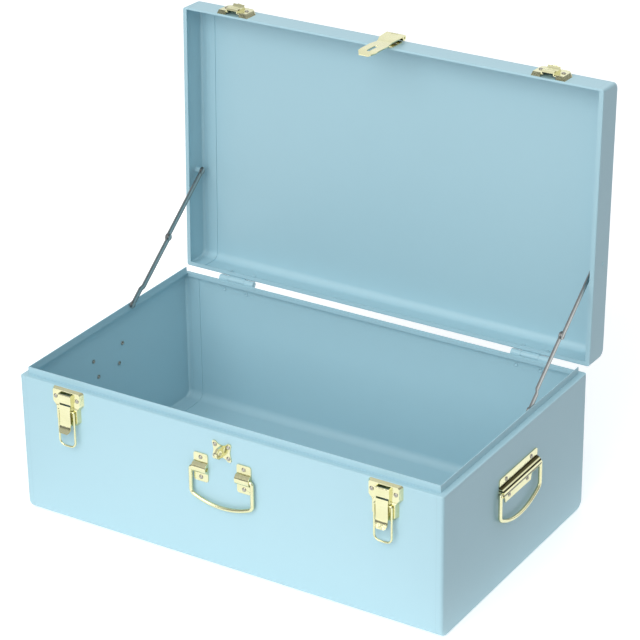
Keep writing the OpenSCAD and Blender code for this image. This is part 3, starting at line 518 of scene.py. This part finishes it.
at = METRES @ OPENED
strap_back = [(out - STRAP_T, z) for out, z in reversed(STRAP_LINE)]
strap = rolled(STRAP_LINE + strap_back, at, STRAP_HALF)
strap_steps = [
    ("INTERSECT", drawn_out(STRAP_RIGHT + mirrored(STRAP_RIGHT), at @ FRONT, STRAP_DEEP)),
    ("DIFFERENCE", drawn_out(STRAP_SLOT, at @ FRONT, STRAP_DEEP)),
    ("UNION", rolled(circle(KNUCKLE, KNUCKLE_R, KNUCKLE_COUNT), at, KNUCKLE_HALF)),
    ("DIFFERENCE", rolled(circle(KNUCKLE, LEAF_GAP_R, KNUCKLE_COUNT), at, LEAF_GAP_HALF)),
    ("DIFFERENCE", rolled(circle(KNUCKLE, PIN_BORE_R), at, PIN_BORE_HALF)),
]
stamped("hasp_strap_stamping", strap, strap_steps, brass, STAMPED_EDGE,
        "hasp_strap", "hasp")

STAPLE_Z, PLATE_T, PLATE_WAIST = -19.8, 1.2, 9.6
PLATE_EAR = [(11, 7.4)] + arc((9.4, 8.6), 1.6, 0, 90, 4)
PLATE_HOLLOW = arc((0, 15.6), 9, -38, -142, 8)
STAPLE_SLOT, STAPLE_SLOT_DEEP = oblong(1.55, -6.05, 6.05), 4

plate_top = PLATE_EAR + [(7, 10)] + PLATE_HOLLOW + mirrored(PLATE_EAR)
plate_low = [(x, -z) for x, z in reversed(plate_top)]
plate_outline = plate_top + [(-PLATE_WAIST, 0)] + plate_low + [(PLATE_WAIST, 0)]
at = METRES @ FRONT @ Matrix.Translation((0, STAPLE_Z, 0))
plate_steps = [("DIFFERENCE", drawn_out(STAPLE_SLOT, at @ BEHIND_WALL, STAPLE_SLOT_DEEP))]
stamped("staple_plate_stamping", drawn_out(plate_outline, at, PLATE_T), plate_steps, brass,
        STAMPED_EDGE, "staple_plate", "body")

# ---- Handle plates ----
# Pressed brass-plated steel with a bead across that holds the wire bail of each handle.
# Two small brackets carry the front handle and one long plate each side handle.

# Heights and half widths of lines along the side plates' bead: shallow grooves in the bump, painted
# dark for the bead's reflections and the shade along its underside.
GROOVE_AND_REFLECTION_LINES = ((0.1142, 0.0016), (0.1112, 0.0011), (0.1070, 0.0013), (0.1014, 0.0014))
PAINTED_REFLECTION_DARK, GROOVE_DEEP = (0.05, 0.042, 0.012, 1), 0.0002


def grooved_plate_painted_reflections(coords):
    """Brass plate with shallow grooves along the bead, their lines darkened as painted reflections
    on the bead and painted shade along its underside.
    """
    look = brass_plate(coords)
    up = coords.axis("Z")
    lines = [1 - abs(up - z).between(0.5 * half, half) for z, half in GROOVE_AND_REFLECTION_LINES]
    groove_and_reflection = lines[0] + lines[1] + lines[2] + lines[3]
    # Painted reflections and shade: the bead's lines darken the brass colour.
    look["Base Color"] = groove_and_reflection.mix(look["Base Color"], PAINTED_REFLECTION_DARK)
    look["Height"] = look["Height"] - GROOVE_DEEP * groove_and_reflection
    return look


brass_painted_reflections = new_material("brass_plate_painted_reflections", {"Metallic": 1.0}, grooved_plate_painted_reflections)
for side in ("left", "right"):
    finish_node(f"front_handle_bracket_{side}", brass, STAMPED_EDGE)
    finish_node(f"side_handle_{side}_plate", brass_painted_reflections, STAMPED_EDGE)

# ---- Stays ----
# Each folding stay is two flat arms, sheared from zinc-plated strip and riveted at the knuckle,
# between a rivet in the body's lip and a post in the lid. The lower arm is joggled inwards.

FOOT_Y, FOOT_Z = 0.038, 0.1625
HEAD_Y, HEAD_Z = 0.1775, 0.2693
STAY_ANGLE = atan2(HEAD_Z - FOOT_Z, HEAD_Y - FOOT_Y)
ARM, ARM_HALF, EYE_R, ARM_BORE_R = 87.84, 3.3, 4.3, 2.0
ARM_OUTER, ARM_INNER, ARM_T = 242.3, 240.6, 1.5
STEP_FROM, STEP_TO = 20, 24
FOOT_PLACE = Matrix.Translation((0, 38, SEAM_Z + 4.5))
BORE_PLACE = Matrix(((0, 0, 1, 230), (1, 0, 0, 0), (0, 1, 0, 0), (0, 0, 0, 1)))
BORE_DEEP = 20
ARM_EDGE, STAY_RIVET_EDGE = 0.0003, 0.0002
COAT_FROM, COAT_TO = 0.2424, 0.2427
# The pale and deep ends of the zinc's tone: each arm's middle is painted towards the pale one as a
# highlight, its edges towards the deep one as shade.
ZINC_PALE = (0.60, 0.62, 0.60, 1)
ZINC_DEEP = (0.13, 0.135, 0.135, 1)


def zinc_strip(coords):
    """Fine streaks along the rolled strip, with a painted highlight down its middle and painted
    shade towards its edges.
    """
    streak = coords.noise(1400, 3, stretch=(1, 0.03, 1), turn=(-STAY_ANGLE, 0, 0))
    spangle = coords.noise(160)
    up, back = coords.axis("Z") - FOOT_Z, coords.axis("Y") - FOOT_Y
    off_line = abs(up * cos(STAY_ANGLE) - back * sin(STAY_ANGLE))
    # Painted highlight along each arm's middle line; towards the edges the arm falls to the deep
    # zinc tone as painted shade.
    painted_highlight = 1 - off_line.between(0.0006, 0.0026)
    return {
        "Base Color": (0.25 * streak + 0.15 * spangle + 0.6 * painted_highlight).mix(ZINC_DEEP, ZINC_PALE),
        "Roughness": 0.28 + 0.22 * streak,
        "Height": 0.000015 * streak,
    }


def half_painted(coords):
    """The stay's post: coated with the lid on its outer part, bare zinc at the rivet's end."""
    bare, coat = zinc_strip(coords), powder_coat(coords)
    out = abs(coords.axis("X")).between(COAT_FROM, COAT_TO)
    return {
        "Base Color": out.mix(bare["Base Color"], coat["Base Color"]),
        "Metallic": 1 - out,
        "Roughness": 0.35 + 0.1 * coords.noise(300),
        "Height": coat["Height"],
    }


def arm_stations():
    """Places along an arm with its half width there, from the end of one eye to the other."""
    flank = sqrt(EYE_R ** 2 - ARM_HALF ** 2)
    eye = [-EYE_R * cos(radians(a)) for a in range(0, 121, 12)]
    near = [(y, sqrt(max(EYE_R ** 2 - y ** 2, 0.01))) for y in eye if y < flank]
    near.append((flank, ARM_HALF))
    far = [(ARM - y, half) for y, half in reversed(near)]
    return near + [(STEP_FROM, ARM_HALF), (STEP_TO, ARM_HALF)] + far


def stay_arm(mirror, start, outer_at):
    """A flat arm along y from a start, its outer face at outer_at(y), and its two bores."""
    turned = (METRES @ Matrix.Scale(mirror, 4, (1, 0, 0)) @ FOOT_PLACE
              @ Matrix.Rotation(STAY_ANGLE, 4, "X") @ Matrix.Translation((0, start, 0)))
    points, faces = [], []
    for y, half in arm_stations():
        outer, inner = outer_at(y), outer_at(y) - ARM_T
        section = [(outer, y, half), (outer, y, -half), (inner, y, -half), (inner, y, half)]
        points += [turned @ Vector(corner) for corner in section]
    last = len(points) - 4
    for low in range(0, last, 4):
        faces += [(low + k, low + (k + 1) % 4, low + 4 + (k + 1) % 4, low + 4 + k)
                  for k in range(4)]
    faces += [(0, 1, 2, 3), (last, last + 1, last + 2, last + 3)]
    bores = [drawn_out(circle((y, 0), ARM_BORE_R), turned @ BORE_PLACE, BORE_DEEP)
             for y in (0, ARM)]
    return mesh_object("arm", points, faces), [("DIFFERENCE", bore) for bore in bores]


def straight(y):
    """The upper arm's outer face lies in one plane."""
    return ARM_OUTER


def joggled(y):
    """The lower arm's outer face steps inwards past its foot, to fold beside the upper arm."""
    return ARM_OUTER if y <= STEP_FROM else ARM_INNER


zinc = new_material("zinc_strip", {"Metallic": 1.0}, zinc_strip)
post_finish = new_material("zinc_post_painted", {}, half_painted)
for side, mirror in (("left", -1), ("right", 1)):
    for part, start, outer_at in (("upper", ARM, straight), ("lower", 0, joggled)):
        arm, bores = stay_arm(mirror, start, outer_at)
        stamped(f"stay_{side}_{part}_arm", arm, bores, zinc, ARM_EDGE,
                f"stay_{side}_{part}", f"stay_{part}_{side}")
    for part in ("knuckle_rivet", "foot_rivet"):
        finish_node(f"stay_{side}_{part}", zinc, STAY_RIVET_EDGE)
    finish_node(f"stay_{side}_lid_post", post_finish, STAY_RIVET_EDGE)

# ---- Rivets ----
# Semi-tubular rivets of nickel-plated steel hold the hardware, greyer than the brass round them;
# their rolled tails show inside the walls. Those of the hinges are under the shell's paint.

RIVET_HEAD = [(0, 0.25), (0.5, 0.3), (0.75, 0.95), (1.1, 1.06), (1.7, 0.85), (2.2, 0.4),
              (2.4, 0), (1.5, 0)]
RIVET_TAIL = [(1.5, 0), (2.1, -0.05), (2.5, -0.3), (2.4, -0.62), (1.9, -0.75), (1.4, -0.6),
              (1.15, -0.2), (1.1, 0.6), (0, 0.6)]
ROUND = 28
SHEET_T, ON_PLATE, ON_PAN = 0.8, 1.2, 4.6
HINGE_X = 182.5
END_WALL, END_Z = 250, SEAM_Z - 50
NICKEL_PALE = (0.50, 0.48, 0.42, 1)
NICKEL_DEEP = (0.30, 0.28, 0.24, 1)


def nickel(coords):
    """Nickel plate, a little clouded and uneven from the tumbling barrel."""
    cloud = coords.noise(300)
    return {
        "Base Color": cloud.mix(NICKEL_DEEP, NICKEL_PALE),
        "Roughness": 0.20 + 0.15 * cloud,
        "Height": 0.00004 * cloud,
    }


def turned_rivet(name, seat):
    """A rivet along z: head on its seat, shank through the sheet and rolled tail."""
    line = [(r, z + seat) for r, z in RIVET_HEAD] + [(r, z - SHEET_T) for r, z in RIVET_TAIL]
    angles = [radians(360 * k / ROUND) for k in range(ROUND)]
    points = [(MM * r * cos(a), MM * r * sin(a), MM * z) for r, z in line[1:-1] for a in angles]
    top, tail, last = len(points), len(points) + 1, len(points) - ROUND
    points += [(0, 0, MM * line[0][1]), (0, 0, MM * line[-1][1])]
    faces = [(low + k, low + (k + 1) % ROUND, low + ROUND + (k + 1) % ROUND, low + ROUND + k)
             for low in range(0, last, ROUND) for k in range(ROUND)]
    faces += [(top, (k + 1) % ROUND, k) for k in range(ROUND)]
    faces += [(tail, last + k, last + (k + 1) % ROUND) for k in range(ROUND)]
    return mesh_object(name, points, faces)


def rivet_tree():
    """Sets a rivet on every point, turned to face as the point's attribute says."""
    tree, start, end = geometry_tree(
        "rivets", {"Places": "Geometry", "Rivet": "Object", "Finish": "Material"}, "Rivets")
    made = tree_node(tree, "GeometryNodeObjectInfo")
    facing = tree_node(tree, "GeometryNodeInputNamedAttribute", data_type="FLOAT_VECTOR")
    facing.inputs["Name"].default_value = "facing"
    aim = tree_node(tree, "FunctionNodeAlignRotationToVector", axis="Z")
    spread = tree_node(tree, "GeometryNodeInstanceOnPoints")
    smooth = tree_node(tree, "GeometryNodeSetShadeSmooth")
    real = tree_node(tree, "GeometryNodeRealizeInstances")
    dress = tree_node(tree, "GeometryNodeSetMaterial")
    join_up(tree,
            (start, "Rivet", made, "Object"),
            (facing, "Attribute", aim, "Vector"),
            (start, "Places", spread, "Points"),
            (made, "Geometry", smooth, "Geometry"),
            (smooth, "Geometry", spread, "Instance"),
            (aim, "Rotation", spread, "Rotation"),
            (spread, "Instances", real, "Geometry"),
            (real, "Geometry", dress, "Geometry"),
            (start, "Finish", dress, "Material"),
            (dress, "Geometry", end, "Rivets"))
    return tree


def grown(name, source, tree, inputs):
    """Runs a tree on a source mesh and makes the result a plain object at the origin."""
    piece = bpy.data.objects.new(name, source)
    bpy.context.collection.objects.link(piece)
    run_tree(piece, tree, inputs)
    baked(piece)
    piece.data.name = name
    return piece


def pairs(x, apart, y, z):
    """Places of a pair of rivets on each side of the middle."""
    return [(side * x + way * apart, y, z) for side in (-1, 1) for way in (-1, 1)]


def stacks(x, z, apart):
    """Places of two rivets over each other on each side of the front's middle."""
    return [(side * x, -WALL, z + way * apart) for side in (-1, 1) for way in (-1, 1)]


def facing(way, places):
    """Rivets as place and way out, all of them facing one way."""
    return [(Vector(place), Vector(way)) for place in places]


TO_FRONT, TO_REAR = (0, -1, 0), (0, 1, 0)
hasp_places = [(side * 6, -WALL, SEAM_Z + 12) for side in (-1, 1)]
end_rivets = [(Vector((END_WALL * end, y * way, END_Z + z)), Vector((end, 0, 0)))
              for end in (-1, 1) for way in (-1, 1) for y, z in ((26.4, 11.3), (19, -10))]
plated = (new_material("nickel_rivet", {"Metallic": 1.0}, nickel), "brass_plate")
coated = (painted, "painted_steel")
rivets_at = rivet_tree()
for node, body, (finish, slot), seat, rivets in (
        ("latch_rivets", "body", plated, ON_PAN,
         facing(TO_FRONT, pairs(LATCH_X, 13.3, -WALL, SEAM_Z - 9.2))),
        ("catch_rivets", "lid", plated, ON_PAN,
         facing(TO_FRONT, pairs(LATCH_X, 12.6, -WALL, SEAM_Z + 11.5))),
        ("hasp_rivets", "lid", plated, ON_PLATE, facing(TO_FRONT, hasp_places)),
        ("staple_rivets", "body", plated, ON_PLATE,
         facing(TO_FRONT, stacks(7.85, SEAM_Z + STAPLE_Z, 6.3))),
        ("front_handle_rivets", "body", plated, ON_PLATE,
         facing(TO_FRONT, stacks(25.6, SEAM_Z - 44.5, 11.1))),
        ("side_handle_rivets", "body", plated, ON_PLATE, end_rivets),
        ("hinge_body_rivets", "body", coated, ON_PLATE,
         facing(TO_REAR, pairs(HINGE_X, 14.4, WALL, SEAM_Z - 11))),
        ("hinge_lid_rivets", "lid", coated, ON_PLATE,
         facing(TO_REAR, pairs(HINGE_X, 14.4, WALL, SEAM_Z + 11)))):
    opened = OPENED if body == "lid" else Matrix.Identity(4)
    ways = [opened.to_3x3() @ way for _, way in rivets]
    spots = bpy.data.meshes.new(node)
    spots.from_pydata([MM * (opened @ place) for place, _ in rivets], [], [])
    attribute = spots.attributes.new("facing", "FLOAT_VECTOR", "POINT")
    attribute.data.foreach_set("vector", [share for way in ways for share in way])
    template = turned_rivet(node + "_one", seat)
    group = grown(node + "_set", spots, rivets_at, {"Rivet": template, "Finish": finish})
    bpy.data.objects.remove(template)
    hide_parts(node)
    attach(group, body)

# ---- Wire bails and latch links ----
# Drawn steel wire bent in one plane, brass plated after bending. The handles are 4 mm wire and
# the latch links 2.2 mm; their ends turn in beads or in the lever's cheeks.

HANDLE_WIRE, LINK_WIRE, WIRE_SIDES = 0.002, 0.0011, 24
FRONT_BOW = dict(stub=0.0192, leg=0.0366, drop=0.0385, bend_r=0.003, corner_r=0.006, bow_r=0.080)
END_BOW = dict(stub=0.0255, leg=0.042, drop=0.040, bend_r=0.0024, corner_r=0.007, bow_r=0.078)
LINK_BOW = dict(stub=0.0059, leg=0.00975, drop=0.0408, bend_r=0.0018, corner_r=0.006, bow_r=0.034)


def bail_path(stub, leg, drop, bend_r, corner_r, bow_r):
    """Centre line of a bail in x and z, hung from a pivot at the origin."""
    bow_z = bow_r - drop
    corner_x = leg - corner_r
    corner_z = bow_z - sqrt((bow_r - corner_r) ** 2 - corner_x ** 2)
    grip = degrees(asin(corner_x / (bow_r - corner_r)))
    half = arc((0, bow_z), bow_r, -90, grip - 90, 16)[:-1]
    half += arc((corner_x, corner_z), corner_r, grip - 90, 0, 14)
    half += arc((leg - bend_r, -bend_r), bend_r, 0, 90, 12) + [(stub, 0)]
    return mirrored(half[1:]) + half


def wire_tree():
    """Sweeps a round wire along the edges of a path mesh and keeps the length along it."""
    tree, start, end = geometry_tree(
        "drawn_wire", {"Path": "Geometry", "Radius": "Float", "Sides": "Int", "Finish": "Material"},
        "Wire")
    line = tree_node(tree, "GeometryNodeMeshToCurve")
    length = tree_node(tree, "GeometryNodeSplineParameter")
    along = tree_node(tree, "GeometryNodeStoreNamedAttribute", {"Name": "along"}, domain="POINT")
    ring = tree_node(tree, "GeometryNodeCurvePrimitiveCircle")
    sweep = tree_node(tree, "GeometryNodeCurveToMesh", {"Fill Caps": True})
    smooth = tree_node(tree, "GeometryNodeSetShadeSmooth")
    real = tree_node(tree, "GeometryNodeRealizeInstances")
    dress = tree_node(tree, "GeometryNodeSetMaterial")
    join_up(tree,
            (start, "Path", line, "Mesh"),
            (line, "Curve", along, "Geometry"),
            (length, "Length", along, "Value"),
            (along, "Geometry", sweep, "Curve"),
            (start, "Radius", ring, "Radius"),
            (start, "Sides", ring, "Resolution"),
            (ring, "Curve", sweep, "Profile Curve"),
            (sweep, "Mesh", smooth, "Geometry"),
            (smooth, "Geometry", real, "Geometry"),
            (real, "Geometry", dress, "Geometry"),
            (start, "Finish", dress, "Material"),
            (dress, "Geometry", end, "Wire"))
    return tree


def drawn_wire(coords):
    """Plated wire with faint rings of the drawing die along it."""
    along = coords.node("ShaderNodeAttribute", {}, output="Fac", attribute_name="along")
    rings = coords.node("ShaderNodeCombineXYZ", {"X": 30 * along}).noise(9)
    polish = coords.noise(500)
    cloud = coords.noise(60)
    return {
        "Base Color": (0.5 * rings + 0.5 * cloud).mix(BRASS_DEEP, BRASS_PALE),
        "Roughness": 0.12 + 0.10 * rings + 0.08 * polish,
        "Height": 0.00002 * polish + 0.00003 * rings,
    }


brass_wire = new_material("brass_wire", {"Metallic": 1.0}, drawn_wire)
wire_sweep = wire_tree()
for node, body, pivot, turned, radius, bow in (
        ("front_handle_bail", "front_bail", (0, -0.1536, 0.1135), 0, HANDLE_WIRE, FRONT_BOW),
        ("side_handle_left_bail", "side_bail_left", (-0.2536, 0, 0.108), -90, HANDLE_WIRE, END_BOW),
        ("side_handle_right_bail", "side_bail_right", (0.2536, 0, 0.108), 90, HANDLE_WIRE, END_BOW),
        ("latch_left_link", "latch_link_left", (-0.1875, -0.156, 0.1354), 0, LINK_WIRE, LINK_BOW),
        ("latch_right_link", "latch_link_right", (0.1875, -0.156, 0.1354), 0, LINK_WIRE, LINK_BOW)):
    placed = Matrix.Translation(pivot) @ Matrix.Rotation(radians(turned), 4, "Z")
    points = [placed @ Vector((x, 0, z)) for x, z in bail_path(**bow)]
    path = bpy.data.meshes.new(node)
    path.from_pydata(points, [(i, i + 1) for i in range(len(points) - 1)], [])
    bail = grown(node + "_wire", path, wire_sweep,
                 {"Radius": radius, "Sides": WIRE_SIDES, "Finish": brass_wire})
    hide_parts(node)
    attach(bail, body)
